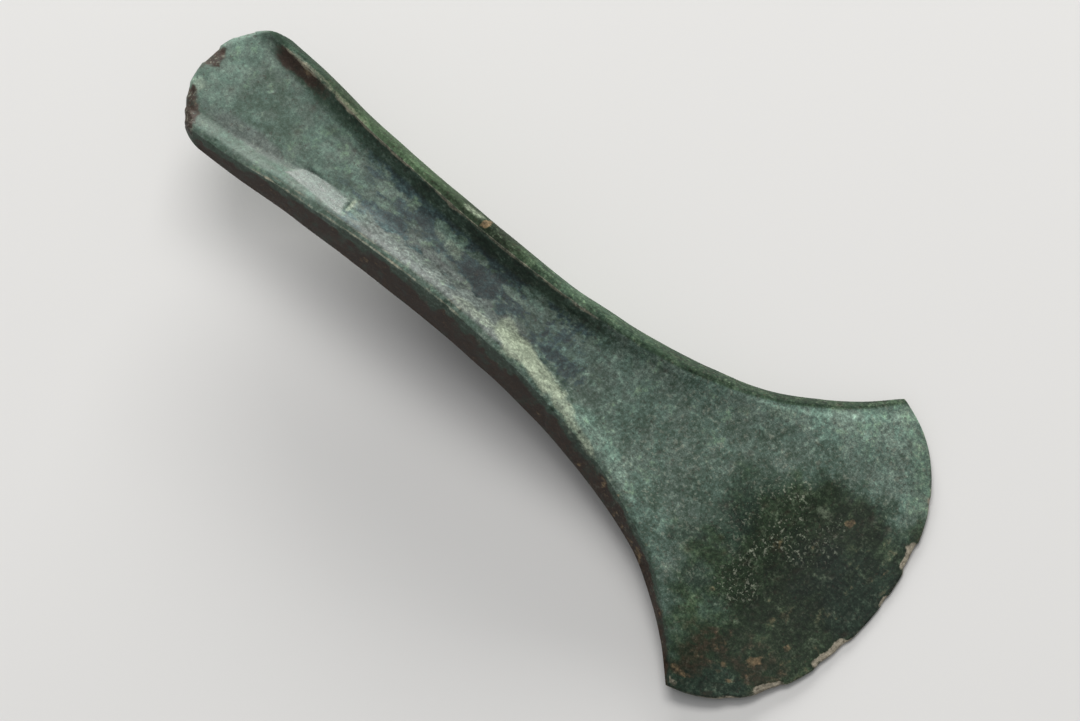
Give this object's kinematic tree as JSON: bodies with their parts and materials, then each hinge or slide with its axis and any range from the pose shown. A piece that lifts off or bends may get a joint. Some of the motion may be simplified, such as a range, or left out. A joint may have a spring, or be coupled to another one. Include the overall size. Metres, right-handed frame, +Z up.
{
  "type": "flanged axe head",
  "caption": "Flanged (tanged) bronze axe head, one solid casting: slender body with high side flanges on both faces, rounded butt and widely splayed half-round blade.",
  "frame": {"origin": "bottom centre of the head's box as it lies at rest on its lower flanges' crests and the cutting end of its blade", "axes": "+X from the butt to the cutting edge, +Y across the width, +Z up; the middle plane dips 6.4 degrees towards the blade"},
  "size_m": [0.1987, 0.0856, 0.0271],
  "materials": {
    "bronze": "old cast and hammered bronze with an uneven grey-green patina"
  },
  "bodies": {
    "root": {"axe_head": "bronze"}
  },
  "joints": []
}
